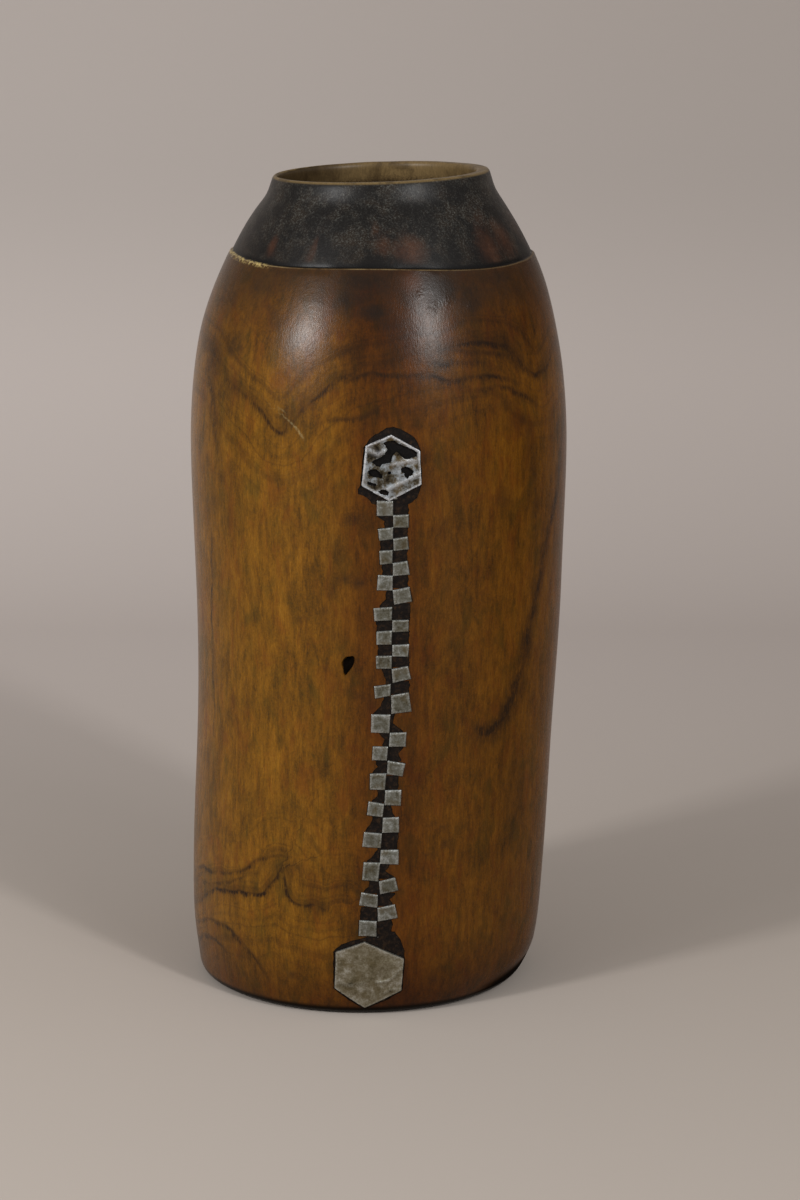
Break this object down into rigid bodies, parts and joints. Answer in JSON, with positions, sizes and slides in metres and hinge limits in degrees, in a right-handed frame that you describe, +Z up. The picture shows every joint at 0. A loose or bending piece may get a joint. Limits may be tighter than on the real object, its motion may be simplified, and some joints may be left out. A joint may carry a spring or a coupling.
{
  "type": "milk container",
  "caption": "Tall carved wooden milk container with a dark narrow neck, a ledge below it and a chequered metal inlay between hexagonal plates down its front.",
  "frame": {"origin": "centre of the flat base, on the face it stands on", "axes": "+Z up the vessel to its mouth, -Y out of the inlaid front, +X to the right as seen from the front"},
  "size_m": [0.1396, 0.1395, 0.3012],
  "materials": {
    "carved_wood": "hand polished, darkened at the neck",
    "black_pitch": "dull black resin",
    "inlay_metal": "hammered and tarnished"
  },
  "bodies": {
    "root": {"vessel": "carved_wood", "pitch_bed": "black_pitch", "upper_plate": "inlay_metal", "lower_plate": "inlay_metal", "covered_top_square": "inlay_metal", "covered_foot_square": "inlay_metal", "left_square_01": "inlay_metal", "left_square_02": "inlay_metal", "left_square_03": "inlay_metal", "left_square_04": "inlay_metal", "left_square_05": "inlay_metal", "left_square_06": "inlay_metal", "left_square_07": "inlay_metal", "left_square_08": "inlay_metal", "left_square_09": "inlay_metal", "left_square_10": "inlay_metal", "left_square_11": "inlay_metal", "left_square_12": "inlay_metal", "left_square_13": "inlay_metal", "left_square_14": "inlay_metal", "left_square_15": "inlay_metal", "left_square_16": "inlay_metal", "right_square_01": "inlay_metal", "right_square_02": "inlay_metal", "right_square_03": "inlay_metal", "right_square_04": "inlay_metal", "right_square_05": "inlay_metal", "right_square_06": "inlay_metal", "right_square_07": "inlay_metal", "right_square_08": "inlay_metal", "right_square_09": "inlay_metal", "right_square_10": "inlay_metal", "right_square_11": "inlay_metal", "right_square_12": "inlay_metal", "right_square_13": "inlay_metal", "right_square_14": "inlay_metal", "right_square_15": "inlay_metal"}
  },
  "joints": []
}
